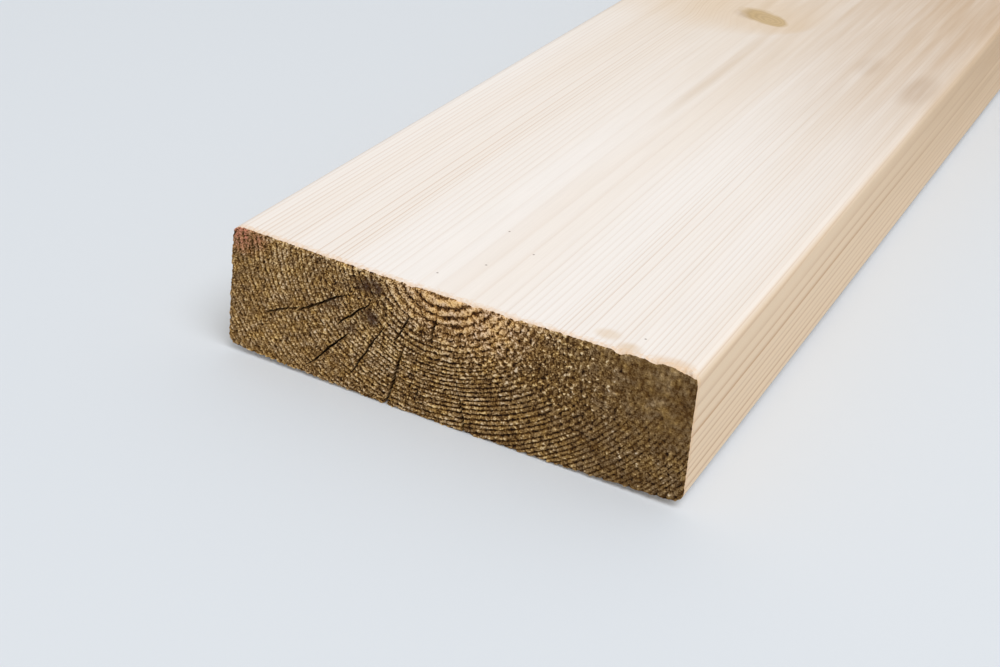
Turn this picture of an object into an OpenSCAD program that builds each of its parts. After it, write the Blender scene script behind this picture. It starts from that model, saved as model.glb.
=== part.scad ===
// Planed softwood plank. It lies flat with its length along Y and its wide face up, and its origin is on the
// floor under its middle. The four long edges are eased to a radius. The sawn end at -Y has dried into thin
// checks, which follow rays from the heart of the log, just above the top face. The end at +Y is sound.

/* [Plank] */
// Width of the plank across its wide face
plank_w = 148; // [90:1:240]
// Thickness of the plank
plank_t = 42; // [30:1:75]
// Length that the plank is sold in
plank_l = 1800; // [600:100:6000]
// Radius that the four long edges are eased to
edge_r = 3.5; // [1:0.5:10]

/* [Drying checks] */
// Height of the heart of the log above the top face
heart_rise = 5.5; // [2:0.5:40]
// Distance of the heart of the log from the middle of the width, towards -X
heart_offset = 7.5; // [0:0.5:40]
// Width of the widest check at its mouth
check_mouth = 0.8; // [0.2:0.1:2]
// Depth of the deepest check, measured along the grain
check_depth = 20; // [5:1:60]

/* [Hidden] */
$fn = 64;
// Reach of a cut past the face that it opens
overrun = 1;
// Share of its tapering outline's width that a check's mouth has, so that its lips run parallel midway
mouth_share = 0.75;
// Place of the heart of the log on the end face
heart_x = -heart_offset;
heart_z = plank_t + heart_rise;
// Angle of each check's ray from straight down, turning towards +X
check_angles = [-60, -58.5, -47.5, -41, -31, -21, -16, 4.5, 16];
// Where each check starts, is widest and stops, as shares of its ray's run across the end face, where more
// than 1 is past the edge, and then its shares of check_mouth and of check_depth
check_shares = [
    [0.53, 0.62, 0.77, 0.60, 0.75],
    [0.33, 0.46, 0.58, 0.65, 0.80],
    [0.35, 0.43, 0.51, 0.55, 0.50],
    [0.57, 0.71, 0.90, 0.70, 0.90],
    [0.43, 0.60, 0.81, 0.50, 0.70],
    [0.30, 0.40, 0.50, 0.50, 0.45],
    [0.55, 1.02, 1.30, 1.00, 1.00],
    [0.15, 0.27, 0.38, 0.45, 0.40],
    [0.75, 1.02, 1.20, 0.75, 0.60],
];

// Distance along a ray from the heart of the log to the top face
function ray_entry(angle) = heart_rise / cos(angle);

// Distance along a ray from the heart to where it leaves the end face, at the bottom or at a side
function ray_exit(angle) =
    min(heart_z / cos(angle), (plank_w / 2 - sign(angle) * heart_x) / abs(sin(angle)));

// Distance along a ray from the heart to a share of its run across the end face
function ray_point(angle, share) =
    ray_entry(angle) + share * (ray_exit(angle) - ray_entry(angle));

// Section of the plank, a rectangle with rounded corners that stands on X
module section() {
    r = min(edge_r, plank_t / 2);
    translate([-plank_w / 2 + r, 0]) square([plank_w - 2 * r, plank_t]);
    translate([-plank_w / 2, r]) square([plank_w, plank_t - 2 * r]);
    for (x = [-plank_w / 2 + r, plank_w / 2 - r], z = [r, plank_t - r]) translate([x, z]) circle(r);
}

// One check: a slit with a slender mouth that tapers to both tips, which closes to a line at its depth
module check(angle, shares) {
    start = ray_point(angle, shares[0]);
    widest = ray_point(angle, shares[1]);
    stop = ray_point(angle, shares[2]);
    half = shares[3] * check_mouth / 2;
    depth = shares[4] * check_depth;
    half_outline = half / mouth_share;
    half_outside = half * (depth + overrun) / depth;
    translate([heart_x, -plank_l / 2, heart_z]) rotate([0, -angle, 0]) intersection() {
        translate([0, -overrun, 0]) rotate([-90, 0, 0]) linear_extrude(depth + 2 * overrun)
            polygon([[0, start], [half_outline, widest], [0, stop], [-half_outline, widest]]);
        translate([0, 0, -stop - overrun]) linear_extrude(stop - start + 2 * overrun)
            polygon([[-half_outside, -overrun], [half_outside, -overrun], [0, depth]]);
    }
}

module plank() {
    color("wheat") difference() {
        rotate([90, 0, 0]) linear_extrude(plank_l, center = true) section();
        for (i = [0 : len(check_angles) - 1]) check(check_angles[i], check_shares[i]);
    }
}

plank();
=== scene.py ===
# A planed softwood plank on a pale floor, seen from above its sawn end.
import math

import bpy
from mathutils import Matrix, Vector


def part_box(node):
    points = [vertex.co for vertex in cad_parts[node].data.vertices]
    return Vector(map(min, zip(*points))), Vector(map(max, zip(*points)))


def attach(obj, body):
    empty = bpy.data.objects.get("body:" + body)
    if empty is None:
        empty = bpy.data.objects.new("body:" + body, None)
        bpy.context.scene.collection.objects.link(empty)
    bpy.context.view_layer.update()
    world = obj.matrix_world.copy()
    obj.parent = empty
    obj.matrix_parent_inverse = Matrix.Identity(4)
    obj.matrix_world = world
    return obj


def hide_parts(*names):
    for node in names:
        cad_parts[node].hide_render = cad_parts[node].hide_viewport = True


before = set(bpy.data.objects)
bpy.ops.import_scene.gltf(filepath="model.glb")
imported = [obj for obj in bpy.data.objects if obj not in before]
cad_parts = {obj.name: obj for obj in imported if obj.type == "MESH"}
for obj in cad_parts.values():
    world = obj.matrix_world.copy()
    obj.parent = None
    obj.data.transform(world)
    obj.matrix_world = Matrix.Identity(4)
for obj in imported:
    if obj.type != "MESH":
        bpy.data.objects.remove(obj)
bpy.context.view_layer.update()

# Plank
# One length of spruce, planed on its four long faces with the edges eased, and cross-cut by a coarse saw
# that tore the end grain. The heart of the log lay just above the upper face, so the growth rings hang below
# it like bowls, and the section has cupped: its edges stand a little higher than its middle.
MM = 0.001
plank_low, plank_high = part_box("plank")
# Sizes in millimetres. The cells of the near end are as fine as its torn grain needs
NEAR_END = plank_low.y / MM
LENGTH = (plank_high.y - plank_low.y) / MM
WIDTH = (plank_high.x - plank_low.x) / MM
THICKNESS = (plank_high.z - plank_low.z) / MM
EDGE_RADIUS = 3.5
GRAIN_CELL, FAR_CELL = 0.37, 0.9
RIM_STEPS = (0.35, 0.8, 1.5, 3, 7)


def end_blank(at, facing, cell):
    """Adds a flat grid as large as the section, with short steps of wall behind its rim."""
    columns, rows = (2 * round(size / cell / 2) for size in (WIDTH, THICKNESS))
    bpy.ops.mesh.primitive_grid_add(
        x_subdivisions=columns, y_subdivisions=rows, size=1, rotation=(math.radians(-90 * facing), 0, 0))
    blank = bpy.context.object
    blank.scale = (WIDTH * MM, THICKNESS * MM, 1)
    blank.location = (0, at, plank_high.z / 2)
    bpy.ops.object.transform_apply(location=True, rotation=True, scale=True)
    bpy.ops.object.mode_set(mode="EDIT")
    bpy.ops.mesh.select_all(action="SELECT")
    bpy.ops.mesh.region_to_loop()
    reached = 0
    for step in RIM_STEPS:
        bpy.ops.mesh.extrude_edges_move(
            TRANSFORM_OT_translate={"value": (0, -facing * (step - reached) * MM, 0)})
        reached = step
    bpy.ops.object.mode_set(mode="OBJECT")
    return blank


bpy.ops.object.select_all(action="DESELECT")
far_end = end_blank(plank_high.y, 1, FAR_CELL)
plank = end_blank(plank_low.y, -1, GRAIN_CELL)
plank.name = "timber_plank"
plank.data.name = "timber_plank"
far_end.select_set(True)
bpy.ops.object.join()
bpy.ops.object.mode_set(mode="EDIT")
bpy.ops.mesh.select_all(action="DESELECT")
bpy.ops.mesh.select_non_manifold(extend=False)
bpy.ops.mesh.bridge_edge_loops()
bpy.ops.mesh.select_all(action="SELECT")
bpy.ops.mesh.normals_make_consistent(inside=False)
bpy.ops.object.mode_set(mode="OBJECT")


def add(tree, kind, inputs, out=0, **settings):
    """Adds a node with its settings, and its inputs as values or as sockets to link. Gives one output."""
    node = tree.nodes.new(kind)
    for name, value in settings.items():
        setattr(node, name, value)
    for key, value in inputs.items():
        if isinstance(value, bpy.types.NodeSocket):
            tree.links.new(value, node.inputs[key])
        else:
            node.inputs[key].default_value = value
    return node.outputs[out] if len(node.outputs) else None


# Growth rings: the tree grew fast at first and then had a run of lean years. The heart wanders a little
# along the log, and the rings are oval and wobble, as they do in any tree.
HEART_X, HEART_Z = -2.5, THICKNESS + 6.5
OVAL_LEFT, OVAL_RIGHT, OFF_CENTRE = 0.98, 1.27, 0.13
# Distance from the heart, and width of the rings from there on
RING_WIDTHS = ((0, 3), (15, 2.4), (18, 1.75), (28, 1.32), (38, 1.55), (54, 1.42))
RING_CHANGE, CHANGE_RINGS = 0.9, 3.5
HEART_SWAY, SWAY_LENGTH, STRAIGHT_LENGTH = 16, 620, 500
RING_WOBBLE, WOBBLE_ACROSS, WOBBLE_ALONG = 1.3, 22, 260
NOISE_MIDDLE = 0.5
# Each range in braces has two values that come in, as 1 and 2, and what they give, as 3 and 4
OVAL_FADE = {1: 1, 2: 0.3, 3: 0, 4: 1}


def log_place(tree, place):
    """Moves a place by the wander of the heart along the log."""
    axes = add(tree, "ShaderNodeSeparateXYZ", {0: place}).node.outputs
    along = add(tree, "ShaderNodeMath", {0: axes["Y"], 1: NEAR_END}, operation="SUBTRACT")
    free = add(tree, "ShaderNodeMath", {0: along, 1: STRAIGHT_LENGTH}, operation="DIVIDE", use_clamp=True)
    sway_at = add(tree, "ShaderNodeMath", {0: along, 1: SWAY_LENGTH}, operation="DIVIDE")
    sway = add(tree, "ShaderNodeTexNoise", {"W": sway_at, "Scale": 1, "Detail": 1}, out="Color",
               noise_dimensions="1D")
    sway = add(tree, "ShaderNodeVectorMath", {0: sway, 1: (NOISE_MIDDLE,) * 3}, operation="SUBTRACT")
    sway = add(tree, "ShaderNodeVectorMath", {0: sway, 1: (HEART_SWAY, 0, HEART_SWAY / 2)},
               operation="MULTIPLY")
    sway = add(tree, "ShaderNodeVectorMath", {0: sway, "Scale": free}, operation="SCALE")
    return add(tree, "ShaderNodeVectorMath", {0: place, 1: sway}, operation="ADD")


def growth_rings(tree, place, swept=0):
    """Count of rings out from the heart, and the way round the ring from straight below it."""
    wobble_at = add(tree, "ShaderNodeVectorMath", {
        0: place, 1: (1 / WOBBLE_ACROSS, 1 / WOBBLE_ALONG, 1 / WOBBLE_ACROSS)}, operation="MULTIPLY")
    wobble = add(tree, "ShaderNodeTexNoise", {"Vector": wobble_at, "Scale": 1, "Detail": 2}, out="Color")
    wobble = add(tree, "ShaderNodeVectorMath", {0: wobble, 1: (NOISE_MIDDLE,) * 3}, operation="SUBTRACT")
    wobble = add(tree, "ShaderNodeVectorMath", {0: wobble, 1: (RING_WOBBLE, 0, RING_WOBBLE)},
                 operation="MULTIPLY")
    spot = add(tree, "ShaderNodeVectorMath", {0: place, 1: wobble}, operation="ADD")
    spot = add(tree, "ShaderNodeVectorMath", {0: spot, 1: (HEART_X, 0, HEART_Z)}, operation="SUBTRACT")
    spot = add(tree, "ShaderNodeVectorMath", {0: spot, 1: (1, 0, 1)}, operation="MULTIPLY")
    distance = add(tree, "ShaderNodeVectorMath", {0: spot}, out="Value", operation="LENGTH")
    spot = add(tree, "ShaderNodeSeparateXYZ", {0: spot}).node.outputs
    across = add(tree, "ShaderNodeMath", {0: distance, 1: OFF_CENTRE, 2: spot["X"]},
                 operation="MULTIPLY_ADD")
    left = add(tree, "ShaderNodeMath", {0: across, 1: 0}, operation="MINIMUM")
    left = add(tree, "ShaderNodeMath", {0: left, 1: OVAL_LEFT}, operation="DIVIDE")
    right = add(tree, "ShaderNodeMath", {0: across, 1: 0}, operation="MAXIMUM")
    right = add(tree, "ShaderNodeMath", {0: right, 1: OVAL_RIGHT}, operation="DIVIDE")
    across = add(tree, "ShaderNodeMath", {0: left, 1: right}, operation="ADD")
    section = add(tree, "ShaderNodeCombineXYZ", {"X": across, "Z": spot["Z"]})
    radius = add(tree, "ShaderNodeVectorMath", {0: section}, out="Value", operation="LENGTH")
    radius = add(tree, "ShaderNodeMath", {0: radius, 1: swept}, operation="SUBTRACT")
    count, last_rate = 0, 0
    for start, ring_width in RING_WIDTHS:
        past = add(tree, "ShaderNodeMath", {0: radius, 1: start}, operation="SUBTRACT")
        past = add(tree, "ShaderNodeMath", {0: past, 1: 0}, operation="MAXIMUM")
        count = add(tree, "ShaderNodeMath", {0: past, 1: 1 / ring_width - last_rate, 2: count},
                    operation="MULTIPLY_ADD")
        last_rate = 1 / ring_width
    change_at = add(tree, "ShaderNodeMath", {0: count, 1: CHANGE_RINGS}, operation="DIVIDE")
    change = add(tree, "ShaderNodeTexNoise", {"W": change_at, "Scale": 1, "Detail": 1},
                 noise_dimensions="1D")
    count = add(tree, "ShaderNodeMath", {0: change, 1: RING_CHANGE, 2: count}, operation="MULTIPLY_ADD")
    down = add(tree, "ShaderNodeMath", {0: spot["Z"], 1: -1}, operation="MULTIPLY")
    turn = add(tree, "ShaderNodeMath", {0: across, 1: down}, operation="ARCTAN2")
    return count, add(tree, "ShaderNodeMath", {0: turn, 1: radius}, operation="MULTIPLY")


def within(tree, place, middle, half_sizes):
    """How far a place is inside an oval: 1 round its middle, fading to 0 at its edge."""
    offset = add(tree, "ShaderNodeVectorMath", {0: place, 1: middle}, operation="SUBTRACT")
    offset = add(tree, "ShaderNodeVectorMath", {0: offset, 1: half_sizes}, operation="DIVIDE")
    offset = add(tree, "ShaderNodeVectorMath", {0: offset}, out="Value", operation="LENGTH")
    return add(tree, "ShaderNodeMapRange", {"Value": offset, **OVAL_FADE}, interpolation_type="SMOOTHSTEP")


# Torn end grain: the saw left every ring as a ridge with a groove beside it, broken by grit, with crumbs of
# fibre standing up and pits torn out. The rings are bold round the heart, with firm arcs right below it.
# They are lost where the end crumbled, smoothed in the corner past it and bruised along the upper rim.
END_REACH = 100
CRUMBLED = (30, NEAR_END, 31), (48, END_REACH, 17)
SMOOTHED = (74, NEAR_END, 36), (40, END_REACH, 26)
BOLD = (9, NEAR_END, 42), (26, END_REACH, 22)
ARCS = (2, NEAR_END, 38), (17, END_REACH, 9)
# Sizes of what is torn, which hardly changes along the fibres. The rays are coarser than real ones, to show
FIBRE_RUN = 0.03
TEAR, GRIT, FINE_GRIT, MOTTLE, PATCH = 1.3, 0.75, 0.42, 2.8, 13
DASH_LENGTH, DASHES_ACROSS = 1.9, 1.3
RAY_GAP, RAY_RUN = 0.75, 5
# Ridges, over the share of the ring that is past, and how far the tears shake them out of line
RING_RISE = {1: 0, 2: 0.34, 3: 0, 4: 1}
RING_FALL = {1: 0.68, 2: 1, 3: 1, 4: 0}
RING_LEVEL, MEAN_HEIGHT = 0.66, 0.5
SHAKE, CRUMBLED_SHAKE = 0.55, 1.3
# How clear the rings stand: across the end, up it, from patch to patch and in the places above
CLEAR_ACROSS = {1: -30, 2: 6, 3: 0.36, 4: 0.56}
CLEAR_PATCH = {1: 0.3, 2: 0.7, 3: 0.55, 4: 1.25}
DULL_ACROSS = {1: 15, 2: 60, 3: 0, 4: 0.3}
DULL_UP = {1: 8, 2: 26, 3: 0.8, 4: 1}
BRUISED_UP = {1: THICKNESS - 2.2, 2: THICKNESS - 0.4, 3: 1, 4: 0.4}
BOLD_CLEAR, ARCS_CLEAR, CRUMBLED_BLUR = 0.24, 0.15, 0.55
# How far the grit, the tears, dashes along the rings and rays across them lift the fibres
GRIT_LIFT, CRUMBLED_GRIT, TEAR_LIFT = 0.5, 0.5, 0.45
FINE_GRIT_LIFT = {1: -15, 2: 25, 3: 1.7, 4: 0.85}
DASH_LIFT = {1: 0, 2: 50, 3: 0.6, 4: 0.3}
RAY_LIFT = {1: -60, 2: -10, 3: 0.5, 4: 0.2}
# Crumbs and pits: where a tear leaves one, and how high or deep it is
CRUMB = {1: 0.56, 2: 0.7, 3: 0, 4: 1}
CRUMB_PATCH = {1: 0.35, 2: 0.65, 3: 0.25, 4: 0.55}
CRUMBS_ACROSS = {1: -52, 2: -28, 3: 0.4, 4: 1}
CRUMBLED_CRUMBS = 0.3
TORN_PIT = {1: 0.44, 2: 0.3, 3: 0, 4: 0.4}
ARCS_FIRM = 0.4
SMOOTH_SHARE, MOTTLE_LIFT, MOTTLE_LEVEL = 0.55, 1.5, -0.17


def torn_grain(tree, place):
    """Height of the torn fibres, 0 in the pits and 1 on the tips. It gives the patches, the mottle and the
    fine grit too, and the count of rings."""
    axes = add(tree, "ShaderNodeSeparateXYZ", {0: place}).node.outputs
    fibres = add(tree, "ShaderNodeVectorMath", {0: place, 1: (1, FIBRE_RUN, 1)}, operation="MULTIPLY")
    tears = add(tree, "ShaderNodeTexNoise", {"Vector": fibres, "Scale": 1 / TEAR, "Detail": 2}, out="Color")
    tears = add(tree, "ShaderNodeSeparateXYZ", {0: tears}).node.outputs
    tear, flaw = tears["X"], tears["Y"]
    grit, fine_grit, mottle, patch = (
        add(tree, "ShaderNodeTexNoise", {"Vector": fibres, "Scale": 1 / size, "Detail": detail})
        for size, detail in ((GRIT, 2), (FINE_GRIT, 1), (MOTTLE, 2), (PATCH, 2)))
    crumbled, smoothed, bold, arcs = (
        within(tree, place, *spot) for spot in (CRUMBLED, SMOOTHED, BOLD, ARCS))
    # Ridges
    count, round_ring = growth_rings(tree, log_place(tree, place))
    loose = add(tree, "ShaderNodeMath", {0: crumbled, 1: CRUMBLED_SHAKE, 2: SHAKE}, operation="MULTIPLY_ADD")
    shake = add(tree, "ShaderNodeMath", {0: tear, 1: NOISE_MIDDLE}, operation="SUBTRACT")
    ragged = add(tree, "ShaderNodeMath", {0: shake, 1: loose, 2: count}, operation="MULTIPLY_ADD")
    part = add(tree, "ShaderNodeMath", {0: ragged, 1: 1, 2: 0}, operation="WRAP")
    rise, fall = (add(tree, "ShaderNodeMapRange", {"Value": part, **side}, interpolation_type="SMOOTHSTEP")
                  for side in (RING_RISE, RING_FALL))
    ridge = add(tree, "ShaderNodeMath", {0: rise, 1: fall}, operation="MULTIPLY")
    ridge = add(tree, "ShaderNodeMath", {0: ridge, 1: RING_LEVEL}, operation="SUBTRACT")
    # How clear they stand
    clear = add(tree, "ShaderNodeMapRange", {"Value": axes["X"], **CLEAR_ACROSS})
    dull = add(tree, "ShaderNodeMapRange", {"Value": axes["X"], **DULL_ACROSS})
    dull_up = add(tree, "ShaderNodeMapRange", {"Value": axes["Z"], **DULL_UP})
    dull = add(tree, "ShaderNodeMath", {0: dull, 1: dull_up}, operation="MULTIPLY")
    clear = add(tree, "ShaderNodeMath", {0: clear, 1: dull}, operation="SUBTRACT")
    clear_patch = add(tree, "ShaderNodeMapRange", {"Value": patch, **CLEAR_PATCH})
    clear = add(tree, "ShaderNodeMath", {0: clear, 1: clear_patch}, operation="MULTIPLY")
    for spot, more in ((bold, BOLD_CLEAR), (arcs, ARCS_CLEAR)):
        clear = add(tree, "ShaderNodeMath", {0: spot, 1: more, 2: clear}, operation="MULTIPLY_ADD")
    blurred = add(tree, "ShaderNodeMath", {0: crumbled, 1: -CRUMBLED_BLUR, 2: 1}, operation="MULTIPLY_ADD")
    bruised = add(tree, "ShaderNodeMapRange", {"Value": axes["Z"], **BRUISED_UP})
    for kept in (blurred, bruised):
        clear = add(tree, "ShaderNodeMath", {0: clear, 1: kept}, operation="MULTIPLY")
    height = add(tree, "ShaderNodeMath", {0: ridge, 1: clear, 2: MEAN_HEIGHT}, operation="MULTIPLY_ADD")
    # Grit, tears, dashes and rays
    dash_round = add(tree, "ShaderNodeMath", {0: round_ring, 1: DASH_LENGTH}, operation="DIVIDE")
    dash_out = add(tree, "ShaderNodeMath", {0: ragged, 1: DASHES_ACROSS}, operation="MULTIPLY")
    ray_round = add(tree, "ShaderNodeMath", {0: round_ring, 1: RAY_GAP}, operation="DIVIDE")
    ray_out = add(tree, "ShaderNodeMath", {0: ragged, 1: RAY_RUN}, operation="DIVIDE")
    dash_at, ray_at = (add(tree, "ShaderNodeCombineXYZ", {"X": round_at, "Y": out_at})
                       for round_at, out_at in ((dash_round, dash_out), (ray_round, ray_out)))
    dash, ray = (
        add(tree, "ShaderNodeTexNoise", {"Vector": at, "Scale": 1, "Detail": detail}, noise_dimensions="2D")
        for at, detail in ((dash_at, 2), (ray_at, 1)))
    grit_lift = add(tree, "ShaderNodeMath", {0: crumbled, 1: CRUMBLED_GRIT, 2: GRIT_LIFT},
                    operation="MULTIPLY_ADD")
    fine_lift, dash_lift, ray_lift = (add(tree, "ShaderNodeMapRange", {"Value": axes["X"], **lift})
                                      for lift in (FINE_GRIT_LIFT, DASH_LIFT, RAY_LIFT))
    rough = 0
    for noise, lift in ((grit, grit_lift), (fine_grit, fine_lift), (dash, dash_lift), (tear, TEAR_LIFT),
                        (ray, ray_lift)):
        noise = add(tree, "ShaderNodeMath", {0: noise, 1: NOISE_MIDDLE}, operation="SUBTRACT")
        rough = add(tree, "ShaderNodeMath", {0: noise, 1: lift, 2: rough}, operation="MULTIPLY_ADD")
    # Crumbs and pits
    crumb_lift = add(tree, "ShaderNodeMapRange", {"Value": patch, **CRUMB_PATCH})
    crumb_lift = add(tree, "ShaderNodeMath", {0: crumbled, 1: CRUMBLED_CRUMBS, 2: crumb_lift},
                     operation="MULTIPLY_ADD")
    few = add(tree, "ShaderNodeMapRange", {"Value": axes["X"], **CRUMBS_ACROSS})
    crumb_lift = add(tree, "ShaderNodeMath", {0: crumb_lift, 1: few}, operation="MULTIPLY")
    crumb = add(tree, "ShaderNodeMapRange", {"Value": flaw, **CRUMB})
    rough = add(tree, "ShaderNodeMath", {0: crumb, 1: crumb_lift, 2: rough}, operation="MULTIPLY_ADD")
    pit = add(tree, "ShaderNodeMapRange", {"Value": flaw, **TORN_PIT})
    rough = add(tree, "ShaderNodeMath", {0: rough, 1: pit}, operation="SUBTRACT")
    firm = add(tree, "ShaderNodeMath", {0: arcs, 1: -ARCS_FIRM, 2: 1}, operation="MULTIPLY_ADD")
    height = add(tree, "ShaderNodeMath", {0: rough, 1: firm, 2: height}, operation="MULTIPLY_ADD")
    # The smoothed corner keeps a soft mottle
    smoothed = add(tree, "ShaderNodeMath", {0: smoothed, 1: SMOOTH_SHARE}, operation="MULTIPLY")
    mottle = add(tree, "ShaderNodeMath", {0: mottle, 1: MOTTLE_LIFT, 2: MOTTLE_LEVEL},
                 operation="MULTIPLY_ADD")
    height = add(tree, "ShaderNodeMix", {"Factor": smoothed, "A": height, "B": mottle})
    return height, patch, mottle, fine_grit, count


# Sawn and eased: the section's corners are drawn in to quarter discs, both ends are pressed in to the torn
# relief, and the saw has worn the rims and broken chips from the upper one of the near end.
RELIEF = 0.7
RIM_WEAR, WEAR_LENGTH, WEAR_RUN, WEAR_REACH = 0.6, 1.7, 0.3, 1.6
WEAR_BITES = {1: 0.36, 2: 0.72, 3: 0, 4: RIM_WEAR}
WEAR_FADE = {1: 0, 2: WEAR_REACH, 3: 1, 4: 0}
LOWER_WEAR = 0.55
# Shares of the wear that the narrow faces take, and the wide ones
WEAR_SHARES = (0.12, 1)
FACE_WEAR_POWER, END_WEAR_POWER = 4, 8
# Chips: place across, half width, depth
CHIPS = ((-13, 2.4, 0.5), (7, 2, 0.5), (19, 3, 0.5), (51.2, 2.2, 0.9), (61, 2.5, 0.5), (71.5, 5, 1))
CHIP_FLOOR = 0.3


def shaping(name):
    """Starts a node group that shapes a mesh. Gives its tree, the mesh and each point's place in mm."""
    tree = bpy.data.node_groups.new(name, "GeometryNodeTree")
    tree.interface.new_socket("Geometry", in_out="INPUT", socket_type="NodeSocketGeometry")
    tree.interface.new_socket("Geometry", in_out="OUTPUT", socket_type="NodeSocketGeometry")
    mesh = add(tree, "NodeGroupInput", {})
    place = add(tree, "GeometryNodeInputPosition", {})
    return tree, mesh, add(tree, "ShaderNodeVectorMath", {0: place, "Scale": 1 / MM}, operation="SCALE")


def shaped(tree, mesh, x, y, z):
    """Ends a node group that shapes a mesh, with each point moved to a place in mm."""
    place = add(tree, "ShaderNodeCombineXYZ", {"X": x, "Y": y, "Z": z})
    place = add(tree, "ShaderNodeVectorMath", {0: place, "Scale": MM}, operation="SCALE")
    mesh = add(tree, "GeometryNodeSetPosition", {"Geometry": mesh, "Position": place})
    add(tree, "NodeGroupOutput", {0: mesh})
    return tree


def end_gap(tree, along):
    """Distance from the nearer end."""
    near_gap = add(tree, "ShaderNodeMath", {0: along, 1: NEAR_END}, operation="SUBTRACT")
    far_gap = add(tree, "ShaderNodeMath", {0: NEAR_END + LENGTH, 1: along}, operation="SUBTRACT")
    return add(tree, "ShaderNodeMath", {0: near_gap, 1: far_gap}, operation="MINIMUM")


def sawn_and_eased():
    tree, mesh, place = shaping("sawn and eased")
    axes = add(tree, "ShaderNodeSeparateXYZ", {0: place}).node.outputs
    middle = add(tree, "ShaderNodeMath", {0: axes["Z"], 1: THICKNESS / 2}, operation="SUBTRACT")
    corners = []
    for offset, half in ((axes["X"], WIDTH / 2), (middle, THICKNESS / 2)):
        size = add(tree, "ShaderNodeMath", {0: offset}, operation="ABSOLUTE")
        past = add(tree, "ShaderNodeMapRange", {"Value": size, 1: half - EDGE_RADIUS, 2: half, 3: 0, 4: 1})
        core = add(tree, "ShaderNodeMath", {0: size, 1: half - EDGE_RADIUS}, operation="MINIMUM")
        side = add(tree, "ShaderNodeMath", {0: offset}, operation="SIGN")
        corners.append((past, core, side))
    # Wear and chips, which fade out behind the rim
    gap = end_gap(tree, axes["Y"])
    fade = add(tree, "ShaderNodeMapRange", {"Value": gap, **WEAR_FADE}, interpolation_type="SMOOTHSTEP")
    wear_at = add(tree, "ShaderNodeVectorMath", {0: place, 1: (1, WEAR_RUN, 1)}, operation="MULTIPLY")
    wear = add(tree, "ShaderNodeTexNoise", {"Vector": wear_at, "Scale": 1 / WEAR_LENGTH, "Detail": 3})
    wear = add(tree, "ShaderNodeMapRange", {"Value": wear, **WEAR_BITES})
    upper = add(tree, "ShaderNodeMath", {0: middle, 1: 0}, operation="GREATER_THAN")
    less = add(tree, "ShaderNodeMapRange", {"Value": upper, 1: 0, 2: 1, 3: LOWER_WEAR, 4: 1})
    wear = add(tree, "ShaderNodeMath", {0: wear, 1: less}, operation="MULTIPLY")
    near = add(tree, "ShaderNodeMath", {0: axes["Y"], 1: 0}, operation="LESS_THAN")
    at_chips = add(tree, "ShaderNodeMath", {0: upper, 1: near}, operation="MULTIPLY")
    lowered = wear
    for chip_x, half_width, chip_depth in CHIPS:
        away = add(tree, "ShaderNodeMath", {0: axes["X"], 1: chip_x}, operation="SUBTRACT")
        away = add(tree, "ShaderNodeMath", {0: away}, operation="ABSOLUTE")
        chip = add(tree, "ShaderNodeMapRange", {
            "Value": away, 1: half_width, 2: half_width * CHIP_FLOOR, 3: 0, 4: chip_depth})
        lowered = add(tree, "ShaderNodeMath", {0: chip, 1: at_chips, 2: lowered}, operation="MULTIPLY_ADD")
    wear = add(tree, "ShaderNodeMath", {0: wear, 1: fade}, operation="MULTIPLY")
    lowered = add(tree, "ShaderNodeMath", {0: lowered, 1: fade}, operation="MULTIPLY")
    # Square corners become discs: each way out is times the root of 1 less half the other's square
    drawn = []
    for (past, core, side), (other, _, _), share in zip(corners, corners[::-1], WEAR_SHARES):
        pull = add(tree, "ShaderNodeMath", {0: other, 1: other}, operation="MULTIPLY")
        pull = add(tree, "ShaderNodeMath", {0: pull, 1: -0.5, 2: 1}, operation="MULTIPLY_ADD")
        pull = add(tree, "ShaderNodeMath", {0: pull}, operation="SQRT")
        out = add(tree, "ShaderNodeMath", {0: past, 1: pull}, operation="MULTIPLY")
        out = add(tree, "ShaderNodeMath", {0: out, 1: EDGE_RADIUS, 2: core}, operation="MULTIPLY_ADD")
        rim = add(tree, "ShaderNodeMath", {0: past, 1: FACE_WEAR_POWER}, operation="POWER")
        worn = add(tree, "ShaderNodeMath", {0: rim, 1: lowered}, operation="MULTIPLY")
        out = add(tree, "ShaderNodeMath", {0: worn, 1: -share, 2: out}, operation="MULTIPLY_ADD")
        drawn.append(add(tree, "ShaderNodeMath", {0: out, 1: side}, operation="MULTIPLY"))
    x = drawn[0]
    z = add(tree, "ShaderNodeMath", {0: drawn[1], 1: THICKNESS / 2}, operation="ADD")
    # The ends are pressed in, deepest in the pits and round the worn rim
    flat = add(tree, "ShaderNodeCombineXYZ", {"X": x, "Y": axes["Y"], "Z": z})
    height = torn_grain(tree, flat)[0]
    depth = add(tree, "ShaderNodeMapRange", {"Value": height, 1: 0, 2: 1, 3: RELIEF, 4: 0})
    edge = add(tree, "ShaderNodeMath", {0: corners[0][0], 1: corners[1][0]}, operation="MAXIMUM")
    rim = add(tree, "ShaderNodeMath", {0: edge, 1: END_WEAR_POWER}, operation="POWER")
    depth = add(tree, "ShaderNodeMath", {0: wear, 1: rim, 2: depth}, operation="MULTIPLY_ADD")
    depth = add(tree, "ShaderNodeMath", {0: depth, 1: fade}, operation="MULTIPLY")
    inward = add(tree, "ShaderNodeMath", {0: axes["Y"]}, operation="SIGN")
    depth = add(tree, "ShaderNodeMath", {0: depth, 1: inward}, operation="MULTIPLY")
    y = add(tree, "ShaderNodeMath", {0: axes["Y"], 1: depth}, operation="SUBTRACT")
    return shaped(tree, mesh, x, y, z)


# Cupped and out of square as it dried. Each point keeps its place in the log for the grain, and the faces
# are laid out flat in a map of their own: both ends as they are, the long faces as one unrolled strip.
CUP_BELOW, CUP_ABOVE = 2.25, 1.2
SHRINKAGE = 0.4
EDGE_LEAN, SKEW = 0.037, 0.016
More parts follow.
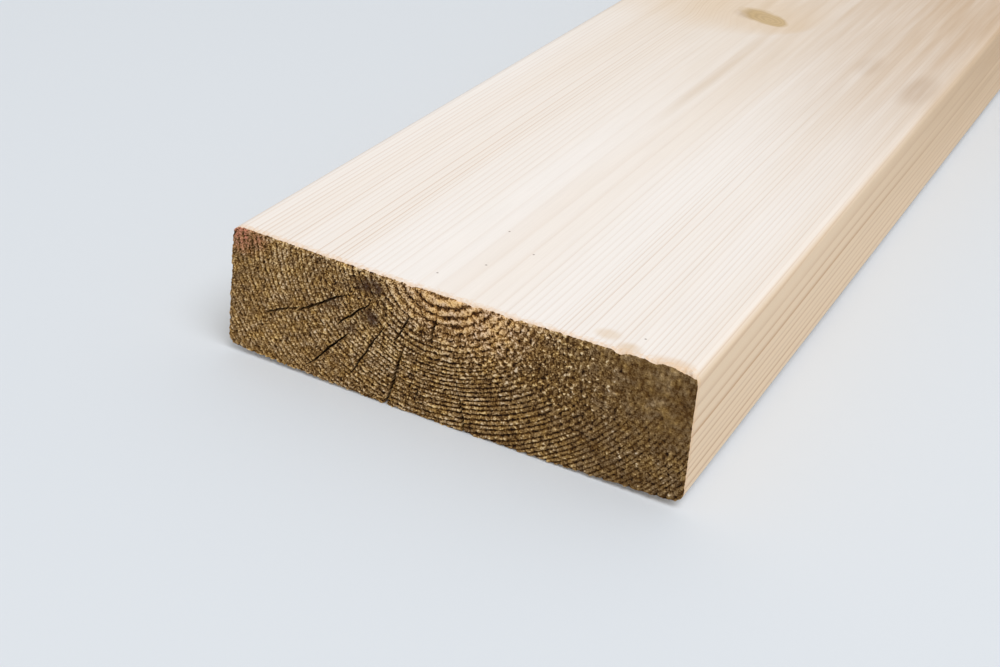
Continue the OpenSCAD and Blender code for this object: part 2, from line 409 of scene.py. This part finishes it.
# Left, bottom, width and height of each layout
NEAR_LAYOUT = (0.005, 0.005, 0.99, 0.28)
FAR_LAYOUT = (0.005, 0.3, 0.36, 0.1)
LONG_LAYOUT = (0.005, 0.42, 0.99, 0.575)


def cupped():
    tree, mesh, place = shaping("cupped")
    mesh = add(tree, "GeometryNodeStoreNamedAttribute", {
        "Geometry": mesh, "Name": "log_place", "Value": place}, data_type="FLOAT_VECTOR", domain="POINT")
    axes = add(tree, "ShaderNodeSeparateXYZ", {0: place}).node.outputs
    # Shares of the way across, along and up, and the way round the section from the middle of its underside
    share_x = add(tree, "ShaderNodeMath", {0: axes["X"], 1: 1 / WIDTH, 2: 0.5}, operation="MULTIPLY_ADD")
    share_y = add(tree, "ShaderNodeMath", {0: axes["Y"], 1: 1 / LENGTH, 2: 0.5}, operation="MULTIPLY_ADD")
    share_z = add(tree, "ShaderNodeMath", {0: axes["Z"], 1: 1 / THICKNESS}, operation="MULTIPLY")
    face = add(tree, "GeometryNodeFieldOnDomain", {"Value": place}, domain="FACE", data_type="FLOAT_VECTOR")
    face = add(tree, "ShaderNodeSeparateXYZ", {0: face}).node.outputs
    out = add(tree, "ShaderNodeMath", {0: axes["X"]}, operation="ABSOLUTE")
    lower = add(tree, "ShaderNodeMath", {0: out, 1: axes["Z"]}, operation="ADD")
    upper = add(tree, "ShaderNodeMath", {0: axes["Z"], 1: out}, operation="SUBTRACT")
    upper = add(tree, "ShaderNodeMath", {0: upper, 1: WIDTH}, operation="ADD")
    above = add(tree, "ShaderNodeMath", {0: face["Z"], 1: THICKNESS / 2}, operation="GREATER_THAN")
    way = add(tree, "ShaderNodeMix", {"Factor": above, "A": lower, "B": upper})
    hand = add(tree, "ShaderNodeMath", {0: face["X"]}, operation="SIGN")
    way = add(tree, "ShaderNodeMath", {0: way, 1: hand}, operation="MULTIPLY")
    share_way = add(tree, "ShaderNodeMath", {0: way, 1: 0.5 / (WIDTH + THICKNESS), 2: 0.5},
                    operation="MULTIPLY_ADD")
    spots = []
    for (left, low, wide, high), u, v in ((LONG_LAYOUT, share_y, share_way), (NEAR_LAYOUT, share_x, share_z),
                                          (FAR_LAYOUT, share_x, share_z)):
        spot = add(tree, "ShaderNodeCombineXYZ", {"X": u, "Y": v})
        spots.append(add(tree, "ShaderNodeVectorMath", {0: spot, 1: (wide, high, 0), 2: (left, low, 0)},
                         operation="MULTIPLY_ADD"))
    at_far = add(tree, "ShaderNodeMath", {0: face["Y"], 1: 0}, operation="GREATER_THAN")
    end_spot = add(tree, "ShaderNodeMix", {"Factor": at_far, 4: spots[1], 5: spots[2]}, out=1,
                   data_type="VECTOR")
    sawn = add(tree, "GeometryNodeInputMaterialIndex", {})
    spot = add(tree, "ShaderNodeMix", {"Factor": sawn, 4: spots[0], 5: end_spot}, out=1, data_type="VECTOR")
    mesh = add(tree, "GeometryNodeStoreNamedAttribute", {"Geometry": mesh, "Name": "OFBake", "Value": spot},
               data_type="FLOAT2", domain="CORNER")
    # The section bends, so that its edges rise and lean in
    edge_share = add(tree, "ShaderNodeMath", {0: axes["X"], 1: 2 / WIDTH}, operation="MULTIPLY")
    rise = add(tree, "ShaderNodeMath", {0: edge_share, 1: edge_share}, operation="MULTIPLY")
    cup = add(tree, "ShaderNodeMath", {0: share_z, 1: CUP_ABOVE - CUP_BELOW, 2: CUP_BELOW},
              operation="MULTIPLY_ADD")
    z = add(tree, "ShaderNodeMath", {0: axes["Z"], 1: 1 - SHRINKAGE / THICKNESS}, operation="MULTIPLY")
    z = add(tree, "ShaderNodeMath", {0: rise, 1: cup, 2: z}, operation="MULTIPLY_ADD")
    lean = add(tree, "ShaderNodeMath", {0: edge_share, 1: -EDGE_LEAN, 2: SKEW}, operation="MULTIPLY_ADD")
    middle = add(tree, "ShaderNodeMath", {0: axes["Z"], 1: THICKNESS / 2}, operation="SUBTRACT")
    x = add(tree, "ShaderNodeMath", {0: lean, 1: middle, 2: axes["X"]}, operation="MULTIPLY_ADD")
    return shaped(tree, mesh, x, axes["Y"], z)


# Planed faces: fresh spruce off the planer, unsealed, so a dry satin surface that is pale cream with thin
# tan lines of summer wood. Branches left tan knots in whorls, and the grain sweeps round them.
# The tan of the edges is painted shade, for faces that turn from the light above
SPRING_WOOD, SUMMER_WOOD, WARM_WOOD, PAINTED_EDGE_SHADE = "FCF6F1", "C49A72", "EDD3B2", "ECD1AF"
KNOT_WOOD, KNOT_RING_WOOD, RIM_WOOD = "CFB27F", "98754A", "EBC59B"
WOOD_IOR, PLANED_SPECULAR = 1.45, 0.3
# Lines of summer wood: the share of the ring that they rise and end in, and how strong they are by year, in
# each stretch of wood, out from the heart, along the plank from the sawn end and on the edges
SUMMER_RISE, SUMMER_POWER = {1: 0.35, 2: 0.9, 3: 0, 4: 1}, 2.5
SUMMER_FALL = {1: 0.9, 2: 1, 3: 1, 4: 0}
YEARS = {1: 0, 2: 1, 3: 0.35, 4: 1.45}
STRETCH_LINES = {1: 0.35, 2: 0.65, 3: 0.2, 4: 0.38}
OUTWARD_LINES = {1: 1.5, 2: 16, 3: 0.12, 4: 1}
FRESH_LINES = {1: NEAR_END, 2: NEAR_END + 260, 3: 1.1, 4: 0.6}
EDGE_LINES = 1.5
# Warmer wood in some stretches and round the knots, and painted shade on the edges and towards the right one
STRETCH_ACROSS, STRETCH_ALONG = 28, 420
WARM_STRETCH = {1: 0.45, 2: 0.8, 3: 0, 4: 0.25}
WARM_KNOT = {1: 6, 2: 1, 3: 0, 4: 0.5}
EDGE_SHADE_AND_LINES = {1: WIDTH / 2 - 2, 2: WIDTH / 2, 3: 0, 4: 0.9}
RIGHT_FLANK_SHADE = {1: WIDTH / 2 - 18, 2: WIDTH / 2 - 5, 3: 0, 4: 0.15}
# Fibres, which give a faint shade, sheen and relief. They are coarser than real ones, to show
FIBRE_ACROSS, FIBRE_ALONG = 0.5, 22
FIBRE_SHADE = {1: 0.25, 2: 0.75, 3: 0.975, 4: 1.02}
FIBRE_ROUGHNESS = {1: 0.25, 2: 0.75, 3: 0.55, 4: 0.7}
FIBRE_BUMP, FIBRE_DEPTH = 0.2, 0.05
# Branches: distance from the sawn end, way they point from straight down, lean along the log, full radius
BRANCHES = (
    (287, -52, 24, 14),
    (662, 22, 18, 9), (655, -76, 24, 10), (640, 68, 21, 8),
    (1015, -24, 20, 10), (1030, 63, 25, 11), (1004, -71, 18, 7),
    (1388, 38, 22, 8), (1372, -62, 21, 11), (1405, 2, 19, 9),
    (1702, 71, 23, 9), (1690, -18, 20, 8),
)
# Square of a branch's share of its full radius, by the distance from the heart
BRANCH_SWELL = {1: -4, 2: 55, 3: 0.0004, 4: 1}
NO_BRANCH = 100
# Knots, by the distance from a branch as a share of its radius
GRAIN_SWEEP = {1: 3.2, 2: 0.8, 3: 0, 4: 4.5}
KNOT_UNEVEN, UNEVEN_SIZE = 0.5, 7
KNOT = {1: 1.05, 2: 0.75, 3: 0, 4: 0.8}
KNOT_RING_RATE = 26
KNOT_RING = {1: -1, 2: 1, 3: 0, 4: 0.25}
# Marks on the upper face: place across, distance from the sawn end, half width and length, colour, strength
MARKS_AND_SHADE = (
    # The first three are broad clouds of painted shade, where the light falls off along the far part of the
    # face
    (20, 500, 260, 410, "D9BF9C", 0.45), (95, 470, 160, 400, "C6A581", 0.56),
    (-40, 1330, 190, 400, "DCC3A2", 0.42), (65, 247, 9, 26, "B3926E", 0.35),
    (41, 263, 7, 18, "BFA284", 0.22), (-5.5, 222, 4, 85, "CDAE86", 0.25), (-21, 293, 9, 8, "AC937A", 0.45),
    (45, 7, 5, 4, "E3C49C", 0.45), (53, 3, 5, 4, "E0BE92", 0.5), (66, 2, 9, 4, "E8C49C", 0.5),
)
MARK_DEPTH, STREAK_ACROSS, STREAK_ALONG = 60, 4, 90
MARK_STREAKS = {1: 0.3, 2: 0.7, 3: -0.35, 4: 0.2}
# Specks of pitch: place across, distance from the sawn end
SPECKS = ((54.6, 10), (-6.4, 46.6), (-10.6, 11), (-1.6, 23.4), (6.6, 37.4))
SPECK, SPECK_STRENGTH, PITCH = 0.5, 0.65, "6B5645"
# Ragged rim of bruised fibres behind each sawn end
RIM_SPECK, RIM_RAGGED = 1.1, 5
BRUISED_RIM = {1: 0.4, 2: -2.6, 3: 0, 4: 0.75}


def linear(colour):
    """Linear colour of an sRGB hex value."""
    parts = (int(colour[i:i + 2], 16) / 255 for i in (0, 2, 4))
    return (*(c / 12.92 if c <= 0.04045 else ((c + 0.055) / 1.055) ** 2.4 for c in parts), 1)


def near_branch(tree, place):
    """Distance from the nearest branch, as a share of its radius there."""
    nearest = NO_BRANCH
    for distance, way, lean, full_radius in BRANCHES:
        way, lean = math.radians(way), math.radians(lean)
        line = (math.sin(way) * math.cos(lean), math.sin(lean), -math.cos(way) * math.cos(lean))
        root = (HEART_X, NEAR_END + distance, HEART_Z)
        arm = add(tree, "ShaderNodeVectorMath", {0: place, 1: root}, operation="SUBTRACT")
        reach = add(tree, "ShaderNodeVectorMath", {0: arm, 1: line}, out="Value", operation="DOT_PRODUCT")
        away = add(tree, "ShaderNodeVectorMath", {0: arm, 1: line}, operation="CROSS_PRODUCT")
        away = add(tree, "ShaderNodeVectorMath", {0: away}, out="Value", operation="LENGTH")
        radius = add(tree, "ShaderNodeMapRange", {"Value": reach, **BRANCH_SWELL})
        radius = add(tree, "ShaderNodeMath", {0: radius}, operation="SQRT")
        share = add(tree, "ShaderNodeMath", {0: away, 1: radius}, operation="DIVIDE")
        share = add(tree, "ShaderNodeMath", {0: share, 1: full_radius}, operation="DIVIDE")
        nearest = add(tree, "ShaderNodeMath", {0: nearest, 1: share}, operation="MINIMUM")
    return nearest


def wood_finish(name):
    """Starts a material of the plank. Gives it, its tree and each point's place in the log."""
    material = bpy.data.materials.new(name)
    material.use_nodes = True
    tree = material.node_tree
    tree.nodes.clear()
    return material, tree, add(tree, "ShaderNodeAttribute", {}, out="Vector", attribute_name="log_place")


def planed_spruce():
    material, tree, place = wood_finish("planed_spruce")
    axes = add(tree, "ShaderNodeSeparateXYZ", {0: place}).node.outputs
    grains = []
    for across, along, detail in ((STRETCH_ACROSS, STRETCH_ALONG, 3), (FIBRE_ACROSS, FIBRE_ALONG, 2),
                                  (STREAK_ACROSS, STREAK_ALONG, 2)):
        grain = add(tree, "ShaderNodeVectorMath", {0: place, 1: (1 / across, 1 / along, 1 / across)},
                    operation="MULTIPLY")
        grains.append(add(tree, "ShaderNodeTexNoise", {"Vector": grain, "Scale": 1, "Detail": detail}))
    stretch, fibre, streaks = grains
    # Lines of summer wood
    log = log_place(tree, place)
    nearest = near_branch(tree, log)
    sweep = add(tree, "ShaderNodeMapRange", {"Value": nearest, **GRAIN_SWEEP},
                interpolation_type="SMOOTHSTEP")
    count, _ = growth_rings(tree, log, sweep)
    part = add(tree, "ShaderNodeMath", {0: count, 1: 1, 2: 0}, operation="WRAP")
    rise = add(tree, "ShaderNodeMapRange", {"Value": part, **SUMMER_RISE})
    line = add(tree, "ShaderNodeMath", {0: rise, 1: SUMMER_POWER}, operation="POWER")
    fall = add(tree, "ShaderNodeMapRange", {"Value": part, **SUMMER_FALL})
    ring = add(tree, "ShaderNodeMath", {0: count}, operation="FLOOR")
    year = add(tree, "ShaderNodeTexWhiteNoise", {"W": ring}, noise_dimensions="1D")
    year = add(tree, "ShaderNodeMapRange", {"Value": year, **YEARS})
    strength = add(tree, "ShaderNodeMapRange", {"Value": stretch, **STRETCH_LINES})
    outward = add(tree, "ShaderNodeMapRange", {"Value": count, **OUTWARD_LINES})
    out = add(tree, "ShaderNodeMath", {0: axes["X"]}, operation="ABSOLUTE")
    # Edges: stronger lines of summer wood, and a tan of painted shade further down
    edge = add(tree, "ShaderNodeMapRange", {"Value": out, **EDGE_SHADE_AND_LINES})
    lined = add(tree, "ShaderNodeMath", {0: edge, 1: EDGE_LINES, 2: 1}, operation="MULTIPLY_ADD")
    fresh = add(tree, "ShaderNodeMapRange", {"Value": axes["Y"], **FRESH_LINES})
    for share in (fall, year, strength, outward, lined, fresh):
        line = add(tree, "ShaderNodeMath", {0: line, 1: share}, operation="MULTIPLY")
    # Warmer wood, and painted shade on the edges and towards the right one
    warm = add(tree, "ShaderNodeMapRange", {"Value": stretch, **WARM_STRETCH})
    near_knot = add(tree, "ShaderNodeMapRange", {"Value": nearest, **WARM_KNOT},
                    interpolation_type="SMOOTHSTEP")
    warm = add(tree, "ShaderNodeMath", {0: warm, 1: near_knot}, operation="ADD", use_clamp=True)
    # Painted shade: a tan towards the right edge of the upper face, joined to that of the edges
    right_flank_shade = add(tree, "ShaderNodeMapRange", {"Value": axes["X"], **RIGHT_FLANK_SHADE})
    edge = add(tree, "ShaderNodeMath", {0: edge, 1: right_flank_shade}, operation="MAXIMUM")
    layers = [(edge, linear(PAINTED_EDGE_SHADE)), (warm, linear(WARM_WOOD)), (line, linear(SUMMER_WOOD))]
    # Marks, clouds of painted shade over the far part, and specks
    streaks = add(tree, "ShaderNodeMapRange", {"Value": streaks, **MARK_STREAKS})
    for x, along, half_width, half_length, mark_and_shade, share in MARKS_AND_SHADE:
        hold = within(tree, place, (x, NEAR_END + along, THICKNESS), (half_width, half_length, MARK_DEPTH))
        hold = add(tree, "ShaderNodeMath", {0: streaks, 1: hold, 2: hold}, operation="MULTIPLY_ADD")
        hold = add(tree, "ShaderNodeMath", {0: hold, 1: share}, operation="MULTIPLY")
        layers.append((hold, linear(mark_and_shade)))
    for x, along in SPECKS:
        hold = within(tree, place, (x, NEAR_END + along, THICKNESS), (SPECK, SPECK, MARK_DEPTH))
        hold = add(tree, "ShaderNodeMath", {0: hold, 1: SPECK_STRENGTH}, operation="MULTIPLY")
        layers.append((hold, linear(PITCH)))
    # Knots, with rings of their own
    uneven = add(tree, "ShaderNodeTexNoise", {"Vector": place, "Scale": 1 / UNEVEN_SIZE, "Detail": 2})
    nearest = add(tree, "ShaderNodeMath", {0: uneven, 1: KNOT_UNEVEN, 2: nearest}, operation="MULTIPLY_ADD")
    nearest = add(tree, "ShaderNodeMath", {0: nearest, 1: KNOT_UNEVEN * NOISE_MIDDLE}, operation="SUBTRACT")
    knot = add(tree, "ShaderNodeMapRange", {"Value": nearest, **KNOT})
    knot_ring = add(tree, "ShaderNodeMath", {0: nearest, 1: KNOT_RING_RATE}, operation="MULTIPLY")
    knot_ring = add(tree, "ShaderNodeMath", {0: knot_ring}, operation="SINE")
    knot_ring = add(tree, "ShaderNodeMapRange", {"Value": knot_ring, **KNOT_RING})
    knot_wood = add(tree, "ShaderNodeMix", {
        "Factor": knot_ring, 6: linear(KNOT_WOOD), 7: linear(KNOT_RING_WOOD)}, out=2, data_type="RGBA")
    layers.append((knot, knot_wood))
    # The saw's rim: fibres bruised to a warm tan
    ragged = add(tree, "ShaderNodeTexNoise", {"Vector": place, "Scale": 1 / RIM_SPECK, "Detail": 2})
    gap = add(tree, "ShaderNodeMath", {0: ragged, 1: -RIM_RAGGED, 2: end_gap(tree, axes["Y"])},
              operation="MULTIPLY_ADD")
    rim = add(tree, "ShaderNodeMapRange", {"Value": gap, **BRUISED_RIM})
    layers.append((rim, linear(RIM_WOOD)))
    colour = linear(SPRING_WOOD)
    for share, wood in layers:
        colour = add(tree, "ShaderNodeMix", {"Factor": share, 6: colour, 7: wood}, out=2, data_type="RGBA")
    shade = add(tree, "ShaderNodeMapRange", {"Value": fibre, **FIBRE_SHADE})
    colour = add(tree, "ShaderNodeVectorMath", {0: colour, "Scale": shade}, operation="SCALE")
    normal = add(tree, "ShaderNodeBump", {
        "Height": fibre, "Strength": FIBRE_BUMP, "Distance": FIBRE_DEPTH * MM})
    roughness = add(tree, "ShaderNodeMapRange", {"Value": fibre, **FIBRE_ROUGHNESS})
    surface = add(tree, "ShaderNodeBsdfPrincipled", {
        "Base Color": colour, "Roughness": roughness, "Normal": normal, "IOR": WOOD_IOR,
        "Specular IOR Level": PLANED_SPECULAR})
    add(tree, "ShaderNodeOutputMaterial", {"Surface": surface})
    return material


# Sawn ends: end grain that has stood in the weather, dry, open and olive brown, dark in the pits and pale on
# the tips of the fibres: partly its own colour, partly painted shade in the pits and a painted highlight on
# the tips. A corner has a trace of red marking paint, and dark stains lie left of the heart.
PIT_IN_SHADE, SHADED, WEATHERED, FIBRE, LIT_FIBRE_TIP = "241102", "5B3C18", "85663C", "B5915D", "EED1A0"
TONES = ((0.08, PIT_IN_SHADE), (0.35, SHADED), (0.55, WEATHERED), (0.8, FIBRE), (1, LIT_FIBRE_TIP))
SAWN_ROUGHNESS, SAWN_SPECULAR = 0.9, 0.18
GRIT_BUMP, GRIT_DEPTH = 0.7, 0.4
HEART = (5, NEAR_END, 43), (34, END_REACH, 24)
# How much the height of the fibres shows in their tone, as painted shade and highlight over their own
# colour:
# out from the heart, and at the left and right
LIVELY_OUTWARD = {1: 8, 2: 40, 3: 1.2, 4: 0.95}
CALM_LEFT = {1: -50, 2: -15, 3: 0.86, 4: 1}
CALM_RIGHT = {1: 25, 2: 60, 3: 1, 4: 0.9}
# The tone of fibres of mean height, and what is added to it at the heart, the right, the left, the upper rim
# and from patch to patch
MEAN_TONE, HEART_TONE = 0.555, 0.22
RIGHT_TONE = {1: -35, 2: 10, 3: 0, 4: -0.1}
LEFT_TONE = {1: -60, 2: -25, 3: 0.04, 4: 0}
RIM_TONE = {1: THICKNESS - 2.2, 2: THICKNESS, 3: 0, 4: 0.13}
PATCH_TONE = {1: 0.3, 2: 0.7, 3: -0.06, 4: 0.06}
# Tints, as shares of red, green and blue: golden and grey fibres, the warmer heart and the duller right side
GOLDEN_TINT, GREY_TINT = (1.05, 0.995, 0.78), (0.955, 1.003, 1.24)
HEART_TINT, DULL_TINT, NO_TINT = (1.09, 1, 1), (0.975, 1.045, 1.2), (1, 1, 1)
GREY_SHARE = {1: 0.3, 2: 0.7, 3: 0, 4: 1}
DULL_SHARE = {1: 10, 2: 60, 3: 0, 4: 1}
# Paint and stains: place across and up, half width, half height, colour, strength, and the tone of the
# fibres that begin to take it
STAINS = (
    (-71, 40.5, 12, 9, "CF7F6E", 0.72, 0.44), (-26, 37.3, 8, 3.8, "311C23", 0.8, 0.3),
    (-26, 27, 5.5, 3.8, "331F26", 0.75, 0.3), (-39, 27, 5, 3.5, "3B262B", 0.6, 0.3),
    (-31.5, 21.5, 4, 3, "3B262B", 0.6, 0.3),
)
TAKE_OVER = 0.3
STAIN_WEAR = {1: 0.3, 2: 0.7, 3: 0.3, 4: 1.1}


def sawn_end_grain():
    material, tree, place = wood_finish("sawn_end_grain")
    axes = add(tree, "ShaderNodeSeparateXYZ", {0: place}).node.outputs
    height, patch, mottle, fine_grit, count = torn_grain(tree, place)
    heart = within(tree, place, *HEART)
    # Tone, from 0 in the darkest pits to 1 on the palest tips, with painted shade and highlight in it
    lively = add(tree, "ShaderNodeMapRange", {"Value": count, **LIVELY_OUTWARD})
    for calm in (CALM_LEFT, CALM_RIGHT):
        calm = add(tree, "ShaderNodeMapRange", {"Value": axes["X"], **calm})
        lively = add(tree, "ShaderNodeMath", {0: lively, 1: calm}, operation="MULTIPLY")
    bright = add(tree, "ShaderNodeMath", {0: heart, 1: HEART_TONE, 2: MEAN_TONE}, operation="MULTIPLY_ADD")
    for way, change in ((axes["X"], RIGHT_TONE), (axes["X"], LEFT_TONE), (axes["Z"], RIM_TONE)):
        change = add(tree, "ShaderNodeMapRange", {"Value": way, **change})
        bright = add(tree, "ShaderNodeMath", {0: bright, 1: change}, operation="ADD")
    tone = add(tree, "ShaderNodeMath", {0: height, 1: MEAN_HEIGHT}, operation="SUBTRACT")
    tone = add(tree, "ShaderNodeMath", {0: tone, 1: lively, 2: bright}, operation="MULTIPLY_ADD")
    drift = add(tree, "ShaderNodeMapRange", {"Value": patch, **PATCH_TONE})
    tone = add(tree, "ShaderNodeMath", {0: tone, 1: drift}, operation="ADD", use_clamp=True)
    colour = add(tree, "ShaderNodeValToRGB", {"Fac": tone})
    stops = colour.node.color_ramp.elements
    for stop, (position, wood) in zip(stops, (TONES[0], TONES[-1])):
        stop.position, stop.color = position, linear(wood)
    for position, wood in TONES[1:-1]:
        stops.new(position).color = linear(wood)
    # Tints
    grey = add(tree, "ShaderNodeTexNoise", {"Vector": place, "Scale": 1 / MOTTLE, "Detail": 2})
    grey = add(tree, "ShaderNodeMapRange", {"Value": grey, **GREY_SHARE})
    dull = add(tree, "ShaderNodeMapRange", {"Value": axes["X"], **DULL_SHARE})
    for share, plain, tint in ((grey, GOLDEN_TINT, GREY_TINT), (heart, NO_TINT, HEART_TINT),
                               (dull, NO_TINT, DULL_TINT)):
        tint = add(tree, "ShaderNodeMix", {"Factor": share, 4: plain, 5: tint}, out=1, data_type="VECTOR")
        colour = add(tree, "ShaderNodeVectorMath", {0: colour, 1: tint}, operation="MULTIPLY")
    # Paint and stains
    worn = add(tree, "ShaderNodeMapRange", {"Value": mottle, **STAIN_WEAR})
    for x, z, half_width, half_height, stain, strength, begin in STAINS:
        hold = within(tree, place, (x, NEAR_END, z), (half_width, END_REACH, half_height))
        hold = add(tree, "ShaderNodeMath", {0: hold, 1: strength}, operation="MULTIPLY")
        take = add(tree, "ShaderNodeMapRange", {"Value": tone, 1: begin, 2: begin + TAKE_OVER, 3: 0, 4: 1})
        hold = add(tree, "ShaderNodeMath", {0: hold, 1: take}, operation="MULTIPLY")
        hold = add(tree, "ShaderNodeMath", {0: hold, 1: worn}, operation="MULTIPLY", use_clamp=True)
        colour = add(tree, "ShaderNodeMix", {"Factor": hold, 6: colour, 7: linear(stain)}, out=2,
                     data_type="RGBA")
    normal = add(tree, "ShaderNodeBump", {
        "Height": fine_grit, "Strength": GRIT_BUMP, "Distance": GRIT_DEPTH * MM})
    surface = add(tree, "ShaderNodeBsdfPrincipled", {
        "Base Color": colour, "Roughness": SAWN_ROUGHNESS, "Normal": normal, "IOR": WOOD_IOR,
        "Specular IOR Level": SAWN_SPECULAR})
    add(tree, "ShaderNodeOutputMaterial", {"Surface": surface})
    return material


def finish_with(kind, **settings):
    """Adds a modifier with its settings to the active piece, and applies it."""
    bpy.ops.object.modifier_add(type=kind)
    modifier = bpy.context.object.modifiers[-1]
    for name, value in settings.items():
        setattr(modifier, name, value)
    bpy.ops.object.modifier_apply(modifier=modifier.name)


# Faces that look along the plank are sawn. Triangles let the checks be cut cleanly
END_FACING = 0.9
end_grain = sawn_end_grain()
plank.data.materials.append(planed_spruce())
plank.data.materials.append(end_grain)
for face in plank.data.polygons:
    face.material_index = 1 if abs(face.normal.y) > END_FACING else 0
finish_with("NODES", node_group=sawn_and_eased())
finish_with("TRIANGULATE")

# Drying checks: wedges that opened along the rays from the heart, from the sawn end inwards. Each closes to
# a point at its depth, and bends from side to side as the fibres parted.
CHECK_SIDES, CHECK_SPLITS = 12, 3
CHECK_SWAY, CHECK_BEND = 1.8, 5
OVERRUN = 1
# Place of the outer end across and up, and of the inner end, mouth, depth
CHECKS = (
    (-63, 15, -48.5, 23, 0.85, 14), (-51.5, 20, -32, 33, 1.05, 16), (-37.5, 19.5, -25, 32.5, 0.95, 11),
    (-46.5, 2.5, -31.5, 20.5, 0.95, 18), (-32, 4, -19.5, 28, 0.8, 14), (-17.5, 21, -12, 33, 1, 10),
    (-20, -6, -13.2, 23, 1.1, 20), (-5.8, 24, -3.8, 37.5, 1.1, 9), (8.4, -5, 5.2, 11.5, 1.25, 12),
    (5.8, 9, 3.2, 17, 0.6, 8), (-9, 4.5, -8, 11, 0.5, 6), (-63.5, 10.5, -58, 13, 0.5, 6),
)
torn_path = bpy.data.textures.new("torn path", "CLOUDS")
torn_path.noise_scale = CHECK_BEND * MM
for outer_x, outer_z, inner_x, inner_z, mouth, depth in CHECKS:
    bpy.ops.mesh.primitive_cone_add(vertices=CHECK_SIDES, radius1=0.5, depth=1, location=(0, 0, 0.5))
    bpy.ops.object.transform_apply(location=True)
    cutter = bpy.context.object
    bpy.ops.object.mode_set(mode="EDIT")
    bpy.ops.mesh.select_all(action="SELECT")
    bpy.ops.mesh.subdivide(number_cuts=CHECK_SPLITS)
    bpy.ops.object.mode_set(mode="OBJECT")
    across, up = inner_x - outer_x, inner_z - outer_z
    cutter.scale = (mouth * MM, math.hypot(across, up) * MM, (depth + OVERRUN) * MM)
    bpy.ops.object.transform_apply(location=False, rotation=False, scale=True)
    cutter.rotation_euler = (math.radians(-90), math.atan2(across, up), 0)
    cutter.location = (
        (outer_x + inner_x) / 2 * MM, plank_low.y - OVERRUN * MM, (outer_z + inner_z) / 2 * MM)
    finish_with("DISPLACE", texture=torn_path, texture_coords="GLOBAL", direction="X",
                strength=CHECK_SWAY * MM)
    bpy.ops.object.transform_apply(location=True, rotation=True)
    cutter.data.materials.append(end_grain)
    bpy.ops.object.select_all(action="DESELECT")
    plank.select_set(True)
    bpy.context.view_layer.objects.active = plank
    finish_with("BOOLEAN", object=cutter, operation="DIFFERENCE", solver="EXACT", material_mode="TRANSFER")
    bpy.data.objects.remove(cutter)

CREASE = math.radians(50)
finish_with("NODES", node_group=cupped())
bpy.ops.object.shade_smooth_by_angle(angle=CREASE)
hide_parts("plank")
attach(plank, "root")

# Floor and light
# A studio floor in pale matt paint, one broad soft light above the sawn end and an even surround.
FLOOR_SIZE, FLOOR_PAINT, PAINT_ROUGHNESS = 60, "E3E9F0", 0.9
LIGHT_PLACE, LIGHT_SIZE, LIGHT_POWER = (1.66, -2.1, 3.92), 3, 108
SURROUND, SURROUND_STRENGTH = "FBFAF8", 0.54
bpy.ops.mesh.primitive_plane_add(size=FLOOR_SIZE)
floor = bpy.context.object
floor.name = "studio_floor"
paint = bpy.data.materials.new("pale_matt_paint")
paint.use_nodes = True
paint.node_tree.nodes["Principled BSDF"].inputs["Base Color"].default_value = linear(FLOOR_PAINT)
paint.node_tree.nodes["Principled BSDF"].inputs["Roughness"].default_value = PAINT_ROUGHNESS
floor.data.materials.append(paint)
bpy.ops.object.light_add(type="AREA", location=LIGHT_PLACE)
light = bpy.context.object
light.data.shape = "DISK"
light.data.size = LIGHT_SIZE
light.data.energy = LIGHT_POWER
light.rotation_euler = (Vector((0, plank_low.y, 0)) - light.location).to_track_quat("-Z", "Y").to_euler()
world = bpy.data.worlds.new("even surround")
bpy.context.scene.world = world
world.use_nodes = True
world.node_tree.nodes["Background"].inputs["Color"].default_value = linear(SURROUND)
world.node_tree.nodes["Background"].inputs["Strength"].default_value = SURROUND_STRENGTH
bpy.context.scene.view_settings.view_transform = "Standard"

# Camera
# It stands to the right of the sawn end and looks down along the plank, turned a little on its axis.
IMAGE_WIDTH, SENSOR_WIDTH = 1000, 36
FOCAL_PIXELS = 1571
AZIMUTH, ELEVATION, ROLL = math.radians(25.856), math.radians(29.722), math.radians(-4.779)
CAMERA_PLACE = Vector((0.17783, plank_low.y - 0.33338, 0.24741))
NEAREST_SEEN = 0.01
forward = Vector((-math.sin(AZIMUTH) * math.cos(ELEVATION), math.cos(AZIMUTH) * math.cos(ELEVATION),
                  -math.sin(ELEVATION)))
level = Vector((math.cos(AZIMUTH), math.sin(AZIMUTH), 0))
downward = forward.cross(level)
right = level * math.cos(ROLL) + downward * math.sin(ROLL)
down = downward * math.cos(ROLL) - level * math.sin(ROLL)
turn = Matrix((right, -down, -forward)).transposed()
bpy.ops.object.camera_add(location=CAMERA_PLACE, rotation=turn.to_euler())
camera = bpy.context.object
camera.data.sensor_width = SENSOR_WIDTH
camera.data.lens = FOCAL_PIXELS * SENSOR_WIDTH / IMAGE_WIDTH
camera.data.clip_start = NEAREST_SEEN
bpy.context.scene.camera = camera
